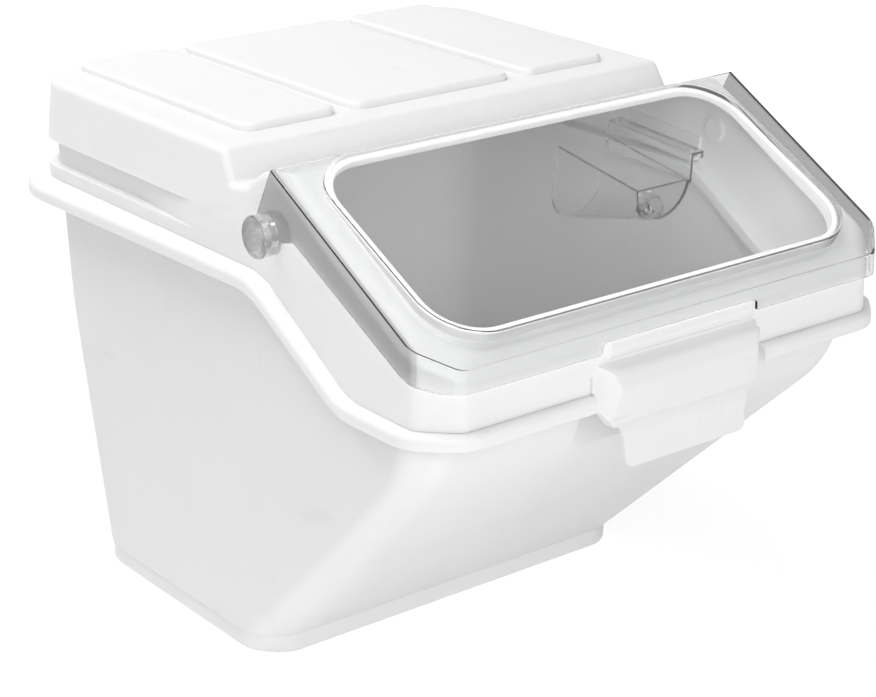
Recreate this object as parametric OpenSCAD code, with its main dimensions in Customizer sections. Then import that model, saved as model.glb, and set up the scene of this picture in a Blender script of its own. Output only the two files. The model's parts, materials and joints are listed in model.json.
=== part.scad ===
// Rice bin with a sloping front, a lift-off hood, a clear flip lid and a scoop.
// X is the width, -Y is the front, Z is up. The origin is on the floor, at the
// middle of the overall width and depth.

/* [Overall] */
// Width over the rolled rim at the back
rim_w = 485; // [480:0.5:490]
// Depth from the back of the rim to the handle lip
overall_d = 590; // [588:0.5:596]
// Height to the top of the raised panels
overall_h = 438; // [437:0.5:442]

/* [Bin] */
// Width of the foot
foot_w = 384; // [380:1:388]
// Depth of the foot
foot_d = 270; // [266:1:273]
// How far the front of the foot lies ahead of the middle
foot_front = 18; // [14:1:22]
// Height of the foot band
foot_h = 16; // [12:1:20]
// Wall thickness of the bin
bin_wall = 3; // [2.5:0.1:3.5]
// Floor thickness
floor_t = 5; // [4:0.5:6]
// Width of the bin body just under the rim
bin_top_w = 434; // [430:1:438]
// Height at which the front slope turns upright
slope_top = 243; // [236:1:248]
// Height of the rim at the back
rim_back_z = 352; // [350:0.5:354]
// Height of the rim at the front
rim_front_z = 287; // [285:0.5:289]
// Thickness of the rolled rim
rim_t = 12; // [10:0.5:14]
// Fall of the rim along the sides, in degrees
rim_fall = 31.6; // [30:0.2:33]
// Width of the break in the rim behind the handle
rim_break = 166; // [164:1:168]

/* [Hood] */
// Wall thickness of the hood
hood_wall = 2.6; // [2.2:0.1:3]
// Width of the hood
hood_w = 441; // [439:0.5:442]
// Height of the deck between the raised panels
deck_z = 432; // [430:0.5:433]
// Height of the lower edge of the deck skirt
skirt_z = 384; // [380:1:388]
// Height of the lower edge of the recessed neck
neck_z = 363; // [361:0.5:366]
// Depth of the recessed neck
neck_in = 8; // [7:0.5:9]
// Height of the bottom of the valley behind the lid
valley_z = 408.5; // [407:0.5:409]
// Half-width of the centre panel
panel_half = 79; // [74:1:84]
// Gap between the raised panels
panel_gap = 13; // [10:1:16]

/* [Lid] */
// Width of the clear lid
lid_w = 450; // [449:0.5:451]
// Sheet thickness of the lid
lid_t = 2.5; // [2.2:0.1:2.8]
// Slope of the lid's flange, in degrees
lid_slope = 28.5; // [28.3:0.1:28.7]
// Slope of the window in the lid and the hood, in degrees
window_slope = 26.3; // [26:0.1:26.6]
// Height of the lid's rear edge
lid_top_z = 435.5; // [435:0.1:435.6]
// Height of the lid's front skirt
lid_skirt = 18.5; // [17.5:0.5:20]
// Half-width of the window opening
window_half = 193; // [188:1:194]
// Corner radius of the window opening
window_r = 38; // [30:1:42]
// Width of the upstanding collar
collar_t = 4.6; // [4:0.2:5]
// Half-width of the notch in the front skirt
notch_half = 75; // [70:1:78]

/* [Hinge] */
// Height of the hinge axis
hinge_z = 385.5; // [385:0.1:386]
// Diameter of the hinge pin
pin_d = 12; // [10:0.5:14]
// Outer diameter of the lid's hinge cup
cup_d = 32; // [30:0.5:33]
// Running clearance around the pin
pin_gap = 0.08; // [0.04:0.01:0.1]

/* [Scoop] */
// Length of the scoop's bowl
bowl_len = 102; // [96:1:108]
// Radius of the scoop's bowl
bowl_r = 29; // [26:0.5:31]
// Depth of the bowl at the end with the loop
bowl_d = 30; // [26:0.5:34]
// Fall of the bowl's bottom to its mouth, in degrees
bowl_fall = 22; // [16:0.5:24]
// Wall thickness of the scoop
scoop_t = 2.2; // [2:0.1:2.5]
// Tilt of the bowl's edge, in degrees
scoop_tilt = 9; // [6:0.5:10]

/* [Hidden] */
$fn = 48;

far = overall_d + rim_w;
over = 20;
front_y = -overall_d / 2;
back_y = overall_d / 2;
rim_half_back = rim_w / 2;
rim_half_front = 230;
rim_front_y = front_y + 9;
rim_back_r = 79;
rim_hem = 3;
body_half = bin_top_w / 2;
body_front_y = front_y + 30;
body_back_y = back_y - 37;
slope_front_y = body_front_y + 11;
slope_back_in = 3;
foot_front_y = -foot_front;
foot_back_y = foot_front_y + foot_d;
foot_step = 1;
foot_cut = 24;
foot_bend = 30;
foot_back_r = 40;
slope_in = 3;
slope_cut = 20;
slope_bend = 22;
skin = 0.5;
slope_ease = 0.5;
front_cut = 25;
bend_r = 16;
body_back_r = 42;
rim_cut = 32;
rim_bend_r = 36;
wall_top_z = rim_back_z + 28;

rim_turn_y = -75;
rim_top_r = 60;
rim_low_r = 50;
seam_gap = 0.3;

recess_half = 74;
recess_low_z = 204;
recess_top_z = 260;
recess_in = 18;
recess_fall = 40;
recess_draft = 8;

hood_half = hood_w / 2;
hood_front_y = front_y + 16.5;
hood_back_y = back_y - 26;
hood_back_r = 42;
lip_drop = 8;
lip_in = 12;
deck_front_y = -19;
valley_back_y = -32;
ledge_z = 412;
cap_draft = 6;
neck_front_y = deck_front_y + 28;
neck_len = 90;
panel_top_z = overall_h;
panel_side_x = hood_half - 40.5;
panel_front_y = deck_front_y + 25;
panel_back_y = hood_back_y - 12;
panel_r = 12;

lid_half = lid_w / 2;
lid_front_y = hood_front_y - 4.5;
lid_top_y = -97;
lid_low_z = lid_top_z - (lid_top_y - lid_front_y) * tan(lid_slope) - lid_skirt;
lid_gap = 1.2;
hinge_y = -89;
plateau_gap = 1;
plateau_wall = 2;
plateau_rise = 2.2;
plateau_depth = 12;
lid_lap = 0.2;
notch_h = 9;
notch_in = 7;
collar_gap = 1.9;
window_back_s = 8.3;
window_margin = 15.5;
window_front_s = (lid_top_y - hood_front_y) / cos(window_slope) - window_margin;
ledge_r = (lid_top_z - hinge_z) * cos(lid_slope) + (hinge_y - lid_top_y) * sin(lid_slope)
    - lid_t - lid_gap;
cup_face_x = lid_half + 11;
pin_end_x = cup_face_x - 2.5;
pin_head_x = hood_half - 7;
pin_head_t = 3;
pin_head_d = 20;

// The side skirt's lower edge: steps back and up from its front corner, then from the hinge.
skirt_steps = [[11, 1], [37, 10]];
ear_steps = [[-34, 2.5], [-19, -1.5], [-4, 2 - cup_d / 2], [cup_d / 2 - 1, -4], [cup_d / 2 - 1, 6]];

grip_root = 80;
grip_half = 66;
grip_low_half = 57.5;
grip_low_y = front_y + 9;
grip_top_z = rim_front_z + 16;
grip_low_z = 260;
grip_lip_z = 229;
grip_wall = 3;
grip_sink = 3;
grip_edge = [5, 6];
grip_rise = 2;
grip_taper_half = 65.5;
grip_taper_z = 210;
grip_flare = 6;
flare_h = 16;
ridge_half = 70;
ridge_z = lid_low_z - 6;
// The ridge's outline: steps ahead of the hood's front and up from the ridge's foot.
ridge_steps = [[-1, 0], [5, 2], [7, 6], [7, 10], [5, 13], [-1, 14]];
slit_w = 2;
slit_h = 13;

rail_x = hood_half - hood_wall;
rail_len = 84;
rail_t = 2.4;
rail_reach = 10;
rail_rise = 9;
rail_edge_z = 16;
rail_back = 11;
rail_tilt = 4;
scoop_mid_y = -27.5;
scoop_z = 351.5;
scoop_side_gap = 2.4;
hook_gap = 0.4;
hook_t = 2;
hook_drop = 4;
hook_foot = 7;
scoop_x = min(body_half - lip_in - hood_wall, rail_x - rail_reach - hook_t) - scoop_side_gap
    - bowl_r;
loop_len = 19;
loop_h = 19;
loop_w = 12;
loop_t = 2.8;
loop_in = 1;

// Points of an arc about a centre.
function arc(cx, cy, r, a0, a1, n = 6) =
    [for (i = [0:n]) let (a = a0 + (a1 - a0) * i / n) [cx + r * cos(a), cy + r * sin(a)]];

// The right half of a plan outline: two bends at the cut front corner, then the back corner.
function half_plan(half, front, back, cut, bend, r_back, t, half_back) =
    let (c = cut - t * (2 - sqrt(2)), r = bend - t, k = tan(22.5))
    concat(
        arc(half - t - c - k * r, front + t + r, r, -90, -45, 4),
        arc(half - t - r, front + t + c + k * r, r, -45, 0, 4),
        arc(half_back - r_back, back - r_back, r_back - t, 0, 90, 7));

// A whole plan outline, inset by t.
function plan(half, front, back, cut, bend, r_back, t = 0, half_back = 0) =
    let (p = half_plan(half, front, back, cut, bend, r_back, t, half_back > 0 ? half_back : half),
         n = len(p))
    concat(p, [for (i = [0:n - 1]) [-p[n - 1 - i][0], p[n - 1 - i][1]]]);

// The rim's line along the side, from back to front, lowered by drop.
function rim_line(drop = 0) =
    let (fall_len = (rim_back_z - rim_front_z) / tan(rim_fall),
         k = tan(rim_fall / 2),
         low_y = rim_turn_y - fall_len)
    concat(
        [[back_y + over, rim_back_z - drop]],
        [for (p = arc(rim_turn_y + k * rim_top_r, rim_back_z - rim_top_r, rim_top_r, 90,
                      90 + rim_fall, 6)) [p[0], p[1] - drop]],
        [for (p = arc(low_y - k * rim_low_r, rim_front_z + rim_low_r, rim_low_r,
                      -90 + rim_fall, -90, 6)) [p[0], p[1] - drop]],
        [[front_y - over, rim_front_z - drop]]);

// Carries a (Y, Z) outline across the width.
module across(points, half) {
    rotate([90, 0, 90])
        translate([0, 0, -half])
            linear_extrude(2 * half)
                polygon(points);
}

module plate(points, z, t) {
    translate([0, 0, z])
        linear_extrude(t)
            polygon(points);
}

// Everything below the rim's line, lowered by drop.
module below_rim(drop) {
    across(concat(rim_line(drop), [[front_y - over, -over], [back_y + over, -over]]), far);
}

// The bin's drafted form, inset by t, with the finger recess behind the handle left out.
module bin_form(t) {
    low_z = t > 0 ? floor_t : foot_h;
    slope_run = (foot_front_y - slope_front_y) / (slope_top - foot_h);
    low_front_y = foot_front_y + (foot_h - low_z) * slope_run + t * slope_ease;
    difference() {
        hull() {
            plate(plan(foot_w / 2, low_front_y, foot_back_y, foot_cut, foot_bend, foot_back_r, t),
                  low_z, skin);
            plate(plan(body_half - slope_in, slope_front_y, body_back_y - slope_back_in, slope_cut,
                       slope_bend, body_back_r, t), slope_top, skin);
            plate(plan(body_half, body_front_y, body_back_y, front_cut, bend_r, body_back_r, t),
                  wall_top_z, skin);
        }
        hull() {
            translate([-recess_half - t, body_front_y - over / 2, recess_low_z - recess_fall])
                cube([2 * (recess_half + t), 2 * skin,
                      recess_top_z - recess_low_z + recess_fall + over / 2 + t]);
            translate([-recess_half + recess_draft - t, slope_front_y + recess_in + t, recess_low_z])
                cube([2 * (recess_half - recess_draft + t), 2 * skin,
                      recess_top_z - recess_low_z + t]);
        }
    }
}

function rim_plan(t) = plan(rim_half_front, rim_front_y, back_y, rim_cut, rim_bend_r,
                            rim_back_r, t, rim_half_back);
function wall_plan(t) = plan(body_half, body_front_y, body_back_y, front_cut, bend_r,
                             body_back_r, t);

// The band of the rolled rim between its top and its lower edge.
module rim_band() {
    intersection() {
        plate(rim_plan(0), floor_t, overall_h);
        below_rim(0);
        difference() {
            translate([-far, -far, 0])
                cube([2 * far, 2 * far, overall_h]);
            below_rim(rim_t);
        }
    }
}

// The hollow under the rolled rim.
module rim_hollow() {
    difference() {
        intersection() {
            plate(rim_plan(rim_hem), foot_h + over, overall_h);
            below_rim(rim_hem);
        }
        bin_form(0);
    }
}

module bin_body() {
    color("white") {
        difference() {
            union() {
                intersection() {
                    bin_form(0);
                    below_rim(0);
                }
                plate(plan(foot_w / 2 - foot_step, foot_front_y + foot_step,
                           foot_back_y - foot_step, foot_cut, foot_bend, foot_back_r),
                      0, foot_h + skin);
                rim_band();
            }
            bin_form(bin_wall);
            rim_hollow();
            translate([-rim_break / 2, rim_front_y - over / 2, rim_front_z - rim_t - over / 2])
                cube([rim_break, body_front_y - rim_front_y + over / 2, rim_t + over]);
        }
    }
}

// Puts children on the slope of the lid's flange, with the rear edge at the origin.
module on_flange() {
    translate([0, lid_top_y, lid_top_z])
        rotate([lid_slope, 0, 0])
            children();
}

module on_window() {
    translate([0, lid_top_y, lid_top_z])
        rotate([window_slope, 0, 0])
            children();
}

// The window's rounded outline, grown by g, with the slope running along -Y.
function window(g) =
    let (h = window_half + g, b = -window_back_s + g, f = -window_front_s - g, r = window_r + g)
    concat(
        arc(h - r, f + r, r, -90, 0, 8),
        arc(h - r, b - r, r, 0, 90, 8),
        arc(-h + r, b - r, r, 90, 180, 8),
        arc(-h + r, f + r, r, 180, 270, 8));

// Everything above the lid's flange plane, moved up by n.
module above_flange(n) {
    on_flange()
        translate([-far, -far, n])
            cube([2 * far, far + 2 * over, far]);
}

// The hood's outline above the rim in side view, inset by t.
function hood_top(t) =
    let (r = ledge_r - t,
         floor_a = asin((ledge_z - t - hinge_z) / r),
         tangent_a = 90 + lid_slope,
         run = overall_d / 2)
    concat(
        [[back_y + over, 0], [back_y + over, deck_z - t], [deck_front_y + t / 2, deck_z - t],
         [valley_back_y + t, valley_z - t]],
        arc(hinge_y, hinge_z, r, floor_a, tangent_a, 10),
        [[hinge_y + r * cos(tangent_a) - run * cos(lid_slope),
          hinge_z + r * sin(tangent_a) - run * sin(lid_slope)],
         [front_y - 2 * over, 0]]);

function hood_plan(t) = plan(hood_half, hood_front_y, hood_back_y, front_cut, bend_r,
                             hood_back_r, t);

// The neck's plan: it starts at the side walls and deepens towards the back.
function neck_plan(t) =
    let (x0 = hood_half - t, x1 = x0 - neck_in,
         side = concat([[x0 + 2 * skin, neck_front_y], [x1, neck_front_y + neck_len]],
                       arc(hood_half - hood_back_r, hood_back_y - hood_back_r,
                           hood_back_r - neck_in - t, 0, 90, 7)),
         n = len(side))
    concat(side, [for (i = [0:n - 1]) [-side[n - 1 - i][0], side[n - 1 - i][1]]]);

// The recess of the neck, round the back and the rear sides.
module neck_ring(t) {
    translate([0, 0, neck_z - t])
        linear_extrude(skirt_z - neck_z + 2 * t)
            difference() {
                translate([-far, neck_front_y])
                    square([2 * far, far]);
                polygon(neck_plan(t));
            }
}

// The hood seen from the front: its sides lean in above the lower edge of the deck skirt.
function side_lean(t) =
    let (x0 = hood_half - t, x1 = x0 - cap_draft)
    [[-x0, 0], [x0, 0], [x0, skirt_z], [x1, deck_z], [x1, deck_z + 2 * over],
     [-x1, deck_z + 2 * over], [-x1, deck_z], [-x0, skirt_z]];

module hood_form(t) {
    difference() {
        intersection() {
            plate(hood_plan(t), floor_t, far);
            across(hood_top(t), far);
            translate([0, back_y + over, 0])
                rotate([90, 0, 0])
                    linear_extrude(overall_d + 3 * over)
                        polygon(side_lean(t));
        }
        neck_ring(t);
    }
}

// The raised panels on the deck, inset by t, so that they are pressed out of the sheet.
module panels(t) {
    y0 = panel_front_y + t;
    y1 = panel_back_y - t;
    r = panel_r - t;
    for (x = [[-panel_side_x, -panel_half - panel_gap], [-panel_half, panel_half],
              [panel_half + panel_gap, panel_side_x]])
        plate(concat(
                  arc(x[1] - t - r, y0 + r, r, -90, 0, 4),
                  arc(x[1] - t - r, y1 - r, r, 0, 90, 4),
                  arc(x[0] + t + r, y1 - r, r, 90, 180, 4),
                  arc(x[0] + t + r, y0 + r, r, 180, 270, 4)),
              deck_z - hood_wall / 2 - 2 * t, panel_top_z - deck_z + hood_wall / 2 + t);
}

// The grip's plate in side view, inset by t: it leans back towards its lower edge.
function grip_side(t) =
    [[hood_front_y + grip_sink, grip_top_z + grip_rise - t],
     [front_y + grip_edge[0] + t, grip_top_z - t], [front_y + t, grip_top_z - grip_edge[1] - t],
     [grip_low_y + t, grip_low_z], [grip_low_y + t, floor_t], [hood_front_y + grip_sink, floor_t]];

// The grip's block inset by t: it narrows forwards and downwards.
module grip_block(t) {
    intersection() {
        plate([[-grip_root + t, hood_front_y + grip_sink], [-grip_half + t, front_y + t],
               [grip_half - t, front_y + t], [grip_root - t, hood_front_y + grip_sink]],
              floor_t, overall_h);
        rotate([90, 0, 0])
            linear_extrude(overall_d)
                polygon([[-grip_taper_half + t, grip_taper_z], [grip_taper_half - t, grip_taper_z],
                         [grip_root + t / 9, grip_top_z + over / 4],
                         [-grip_root - t / 9, grip_top_z + over / 4]]);
        across(grip_side(t), grip_root + over);
    }
}

// The pull grip: a hollow plate over the break in the rim, with a flared lip.
module grip() {
    difference() {
        intersection() {
            grip_block(0);
            translate([-far, -far, grip_low_z])
                cube([2 * far, far, overall_h]);
        }
        grip_block(grip_wall);
    }
    lip_y = grip_low_y - grip_flare;
    across([[grip_low_y, grip_low_z + grip_wall],
            [grip_low_y - grip_flare * 2 / 3, grip_low_z - flare_h * 3 / 4],
            [lip_y, grip_low_z - flare_h], [lip_y, grip_lip_z], [lip_y + grip_wall, grip_lip_z],
            [lip_y + grip_wall, grip_low_z - flare_h], [grip_low_y + grip_wall, grip_low_z],
            [grip_low_y + grip_wall, grip_low_z + grip_wall]],
           grip_low_half);
    across([for (p = ridge_steps) [hood_front_y - p[0], ridge_z + p[1]]], ridge_half);
}

module on_hinge(side) {
    translate([0, hinge_y, hinge_z])
        rotate([0, 90 * side, 0])
            children();
}

module hood() {
    color("white") {
        difference() {
            union() {
                difference() {
                    hood_form(0);
                    hood_form(hood_wall);
                    on_window()
                        translate([0, 0, -4 * over])
                            linear_extrude(8 * over)
                                polygon(window(0));
                    below_rim(-seam_gap);
                }
                hood_lip();
                collar();
                panels(0);
                grip();
                for (s = [-1, 1])
                    on_hinge(s)
                        translate([0, 0, pin_head_x + pin_head_t])
                            cylinder(d = pin_head_d, h = hood_half - pin_head_x - pin_head_t - skin);
            }
            panels(hood_wall);
            for (s = [-1, 1])
                on_hinge(s)
                    translate([0, 0, pin_head_x - over / 2])
                        cylinder(d = pin_d, h = 2 * over);
            for (s = [-1, 1])
                translate([s * (grip_root + slit_w) - slit_w / 2, hood_front_y - slit_w,
                           rim_front_z - over / 4])
                    cube([slit_w, hood_wall + over / 4, slit_h + over / 4]);
        }
    }
}

// The upstanding collar around the window opening.
module collar() {
    intersection() {
        on_window()
            translate([0, 0, -window_r])
                linear_extrude(window_r + plateau_rise - plateau_wall - collar_gap)
                    difference() {
                        polygon(window(collar_t));
                        polygon(window(0));
                    }
        above_flange(-lid_t - lid_gap - hood_wall);
    }
}

// The lip that drops inside the bin and centres the hood.
module hood_lip() {
    intersection() {
        linear_extrude(overall_h)
            difference() {
                polygon(hood_plan(hood_wall - skin));
                polygon(wall_plan(lip_in + hood_wall));
            }
        difference() {
            below_rim(-seam_gap - hood_wall);
            below_rim(-seam_gap);
        }
    }
    intersection() {
        linear_extrude(overall_h)
            difference() {
                polygon(wall_plan(lip_in));
                polygon(wall_plan(lip_in + hood_wall));
            }
        difference() {
            below_rim(-seam_gap - hood_wall);
            below_rim(lip_drop);
        }
    }
}

// The lid's form in plan and under its flange plane, inset by t.
module lid_form(t) {
    run = lid_top_y - lid_front_y + over / 2;
    drop = t / cos(lid_slope);
    rear = t > 0 ? 2 * over : 0;
    lower = t > 0 ? [[-far, 0], [0, 0]]
                  : concat([[lid_top_y - run, lid_low_z]],
                           [for (p = skirt_steps) [lid_front_y + p[0], lid_low_z + p[1]]],
                           [for (p = ear_steps) [hinge_y + p[0], hinge_z + p[1]]]);
    intersection() {
        plate(plan(lid_half, lid_front_y, back_y, front_cut, bend_r, hood_back_r, t), 0, far);
        across(concat(
            [[lid_top_y + rear, lid_top_z - drop + rear * tan(lid_slope)],
             [lid_top_y - run, lid_top_z - drop - run * tan(lid_slope)]], lower), far);
    }
}

module plateau(g, top) {
    on_window()
        translate([0, 0, -plateau_depth])
            linear_extrude(plateau_depth + top)
                polygon(window(collar_t + plateau_gap + g));
}

module flip_lid() {
    color([0.85, 0.9, 0.92, 0.4]) {
        difference() {
            union() {
                difference() {
                    lid_form(0);
                    lid_form(lid_t);
                }
                intersection() {
                    plateau(plateau_wall, plateau_rise);
                    above_flange(-lid_t + lid_lap);
                }
                for (s = [-1, 1])
                    on_hinge(s)
                        translate([0, 0, lid_half - lid_t])
                            cylinder(d = cup_d, h = cup_face_x - lid_half + lid_t);
            }
            plateau(0, plateau_rise - plateau_wall);
            for (s = [-1, 1])
                on_hinge(s)
                    translate([0, 0, lid_half - lid_t - over / 4])
                        cylinder(d = pin_d + 2 * pin_gap,
                                 h = pin_end_x + seam_gap - lid_half + lid_t + over / 4);
            translate([-notch_half, lid_front_y - over / 4, lid_low_z - over / 4])
                cube([2 * notch_half, notch_in + over / 4, notch_h + over / 4]);
        }
    }
}

module hinge_pin(side) {
    color("gainsboro")
        on_hinge(side) {
            translate([0, 0, pin_head_x])
                cylinder(d = pin_head_d, h = pin_head_t);
            translate([0, 0, pin_head_x])
                cylinder(d = pin_d, h = pin_end_x - pin_head_x);
        }
}

// Puts children at the scoop's place, tilted down to the front.
module at_scoop(tilt) {
    translate([scoop_x, scoop_mid_y, scoop_z])
        rotate([tilt, 0, 0])
            children();
}

// The wall rail whose upturned edge carries the scoop.
module scoop_rail() {
    wall = rail_x - scoop_x;
    edge = wall - rail_reach;
    foot_z = rail_edge_z - rail_rise;
    color("white")
        at_scoop(rail_tilt)
            translate([0, rail_len / 2, 0])
                rotate([90, 0, 0])
                    linear_extrude(rail_len)
                        polygon([[wall, rail_edge_z + rail_back],
                                 [wall - rail_t, rail_edge_z + rail_back],
                                 [wall - rail_t, foot_z + rail_t], [edge + rail_t, foot_z + rail_t],
                                 [edge + rail_t, rail_edge_z], [edge, rail_edge_z],
                                 [edge, foot_z], [wall, foot_z]]);
}

// The bowl's section in its own slope, inset by t, with the outer bottom at zero.
function bowl_section(t) =
    concat([[t - bowl_r, far]], arc(0, bowl_r, bowl_r - t, 180, 360, 20), [[bowl_r - t, far]]);

// The bowl's form, inset by t: a trough that deepens from the loop to the mouth.
module bowl_form(t) {
    intersection() {
        translate([0, -bowl_len / 2, -bowl_d])
            rotate([-bowl_fall, 0, 0])
                translate([0, 2 * bowl_len, 0])
                    rotate([90, 0, 0])
                        linear_extrude(3 * bowl_len)
                            polygon(bowl_section(t));
        translate([-bowl_r, t - bowl_len / 2, -far])
            cube([2 * bowl_r, bowl_len + 2 * t, far + t]);
    }
}

// The strip along the bowl's edge that hooks over the rail.
module scoop_hook() {
    edge = rail_x - scoop_x - rail_reach + rail_t + hook_gap;
    under_z = rail_edge_z + hook_gap;
    translate([0, bowl_len / 2, 0])
        rotate([90, 0, 0])
            linear_extrude(bowl_len)
                polygon([[bowl_r - skin, -hook_foot], [bowl_r - skin, under_z + hook_t],
                         [edge + hook_t, under_z + hook_t], [edge + hook_t, under_z - hook_drop],
                         [edge, under_z - hook_drop], [edge, under_z],
                         [bowl_r + hook_t - skin, under_z],
                         [bowl_r + hook_t - skin, -hook_foot]]);
}

// The finger loop on the closed end, inset by t.
module loop_form(t) {
    r = loop_h / 2 - t;
    translate([-bowl_r + loop_in - t, -bowl_len / 2, -loop_in - loop_h / 2])
        rotate([90, 0, 90])
            linear_extrude(loop_w + 2 * t)
                polygon(concat([[0, r]], arc(loop_h / 2 - loop_len, 0, r, 90, 270, 12), [[0, -r]]));
}

module scoop() {
    color([0.85, 0.9, 0.92, 0.4]) {
        at_scoop(scoop_tilt) {
            difference() {
                bowl_form(0);
                bowl_form(scoop_t);
            }
            difference() {
                loop_form(0);
                loop_form(loop_t);
            }
        }
        at_scoop(rail_tilt)
            scoop_hook();
    }
}

module hinge_pin_left() {
    hinge_pin(-1);
}

module hinge_pin_right() {
    hinge_pin(1);
}

bin_body();
hood();
flip_lid();
hinge_pin_left();
hinge_pin_right();
scoop_rail();
scoop();
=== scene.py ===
# Rice bin with a sloping front, a lift-off hood, a clear flip lid and a scoop.
import json
import math

import bmesh
import bpy
from mathutils import Matrix, Vector

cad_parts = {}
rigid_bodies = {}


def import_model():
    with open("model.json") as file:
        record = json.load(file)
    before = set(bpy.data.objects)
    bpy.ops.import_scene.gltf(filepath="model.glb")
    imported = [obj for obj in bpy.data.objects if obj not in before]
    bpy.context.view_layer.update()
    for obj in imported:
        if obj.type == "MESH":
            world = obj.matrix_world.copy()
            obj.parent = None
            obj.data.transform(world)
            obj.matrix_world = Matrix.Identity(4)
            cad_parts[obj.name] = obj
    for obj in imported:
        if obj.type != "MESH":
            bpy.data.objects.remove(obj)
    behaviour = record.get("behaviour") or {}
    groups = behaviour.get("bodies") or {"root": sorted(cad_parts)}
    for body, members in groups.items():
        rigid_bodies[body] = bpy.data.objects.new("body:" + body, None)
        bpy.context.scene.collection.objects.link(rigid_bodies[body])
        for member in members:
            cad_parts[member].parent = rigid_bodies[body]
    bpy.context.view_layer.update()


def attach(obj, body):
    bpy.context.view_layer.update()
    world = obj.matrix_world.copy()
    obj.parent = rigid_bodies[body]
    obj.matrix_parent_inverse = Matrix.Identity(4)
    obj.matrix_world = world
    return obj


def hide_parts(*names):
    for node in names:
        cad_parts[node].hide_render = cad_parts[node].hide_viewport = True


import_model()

MM = 0.001
REACH = 400.0        # how far a cutting block goes past the bin
SKIN = 0.5           # how deep one solid is sunk in another before they are joined
MERGE, FLAT = 0.02, 0.2      # doubles closer than this are merged, folds flatter dissolved

# Sizes in millimetres, as in the part's source. X is the width, -Y the front, Z up. The
# slope's edges, the grip and the ridge are softer here.
FLOOR_T, FOOT_H, BIN_WALL = 5.0, 16.0, 3.0
FOOT_HALF, FOOT_FRONT, FOOT_BACK = 192.0, -18.0, 252.0
BEND_HALF, BEND_FRONT, BEND_BACK, SLOPE_TOP = 214.0, -254.0, 255.0, 243.0
WALL_HALF, WALL_FRONT, WALL_BACK, WALL_TOP = 217.0, -265.0, 258.0, 380.0
CUT_IN, BEND_R, BACK_R = 25.0, 16.0, 42.0    # cut front corner, its two bends, back corner
RIM_HALF, RIM_FRONT, RIM_BACK, RIM_BACK_HALF = 230.0, -286.0, 295.0, 242.5
RIM_BACK_Z, RIM_FRONT_Z, RIM_T, RIM_HEM = 352.0, 287.0, 12.0, 3.0
RIM_FALL, RIM_TURN_Y, RIM_TOP_R, RIM_LOW_R = 31.6, -75.0, 60.0, 50.0
RIM_BREAK_HALF, SEAM = 83.0, 0.3
RECESS_HALF, RECESS_FRONT, RECESS_BACK, RECESS_DRAFT = 74.0, -275.0, -235.5, 8.0
RECESS_LOW, RECESS_FALL, RECESS_TOP = 204.0, 40.0, 260.0
HOOD_HALF, HOOD_FRONT, HOOD_BACK, HOOD_WALL = 220.5, -278.5, 269.0, 2.6
DECK_Z, DECK_FRONT, VALLEY_Z, VALLEY_BACK, LEDGE_Z = 432.0, -19.0, 408.5, -32.0, 412.0
SKIRT_Z, NECK_Z, NECK_IN, NECK_FRONT, NECK_LEN, CAP_DRAFT = 384.0, 363.0, 8.0, 9.0, 90.0, 6.0
SLOPE_SOFT, HOOD_SOFT = 14.0, 5.5
SLOPE_DROP, SLOPE_PAST = 0.3, 0.4    # how far the softened slope lies under and past the hood's
PANEL_TOP, PANEL_FRONT, PANEL_BACK, PANEL_R, PANEL_SIDE = 438.0, 6.0, 257.0, 12.0, 180.0
PANEL_HALF, PANEL_GAP = 79.0, 13.0
LID_HALF, LID_FRONT, LID_T, LID_GAP = 225.0, -283.0, 2.5, 1.2
LID_TOP_Y, LID_TOP_Z, LID_LOW_Z, LID_SLOPE = -97.0, 435.5, 316.01, 28.5
HINGE_Y, HINGE_Z, CUP_D, CUP_FACE = -89.0, 385.5, 32.0, 236.0
LEDGE_R = ((LID_TOP_Z - HINGE_Z) * math.cos(math.radians(LID_SLOPE))
           + (HINGE_Y - LID_TOP_Y) * math.sin(math.radians(LID_SLOPE)) - LID_T - LID_GAP)
WINDOW_HALF, WINDOW_R, WINDOW_BACK, WINDOW_SLOPE = 193.0, 38.0, -8.3, 26.3
WINDOW_FRONT = (HOOD_FRONT - LID_TOP_Y) / math.cos(math.radians(WINDOW_SLOPE)) + 15.5
COLLAR_T, PLATEAU_GAP, PLATEAU_WALL, PLATEAU_RISE, COLLAR_GAP = 4.6, 1.0, 2.0, 2.2, 1.9
PIN_D, PIN_GAP, PIN_END, PIN_HEAD_X, PIN_HEAD_T, PIN_HEAD_D = 12.0, 0.08, 233.5, 213.5, 3.0, 20.0
GRIP_ROOT, GRIP_HALF, GRIP_LIP_HALF, GRIP_WALL = 80.0, 66.0, 57.5, 3.0
GRIP_FRONT, GRIP_LOW_Y, GRIP_TOP_Z, GRIP_LOW_Z, GRIP_LIP_Z = -295.0, -286.0, 303.0, 260.0, 229.0
GRIP_WIDE, GRIP_NARROW, GRIP_SOFT, GRIP_FLARE, RIDGE_HALF = 78.0, 62.0, 3.4, 6.0, 71.0
SLIT_X, SLIT_T, NOTCH_HALF, NOTCH_RISE, NOTCH_R = 81.0, 2.0, 75.0, 9.0, 4.0
SCOOP_AT, SCOOP_TILT, RAIL_TILT = Vector((171.0, -27.5, 351.5)), 9.0, 4.0
SCOOP_R, SCOOP_HALF, SCOOP_WALL, RAIL_HALF, RAIL_T = 29.0, 51.0, 2.2, 42.0, 2.4
HOOK_X, HOOK_TOP, HOOK_T, LOOP_R, LOOP_WALL, LOOP_LONG = 39.7, 16.4, 2.0, 9.5, 2.8, 12.0


# --- Drawing and shaping ---------------------------------------------------------------------

def let_go():
    """Deselects everything."""
    for thing in list(bpy.context.selected_objects):
        thing.select_set(False)


def take_up(piece):
    """Selects one piece alone and makes it the active one."""
    let_go()
    piece.select_set(True)
    bpy.context.view_layer.objects.active = piece


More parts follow.
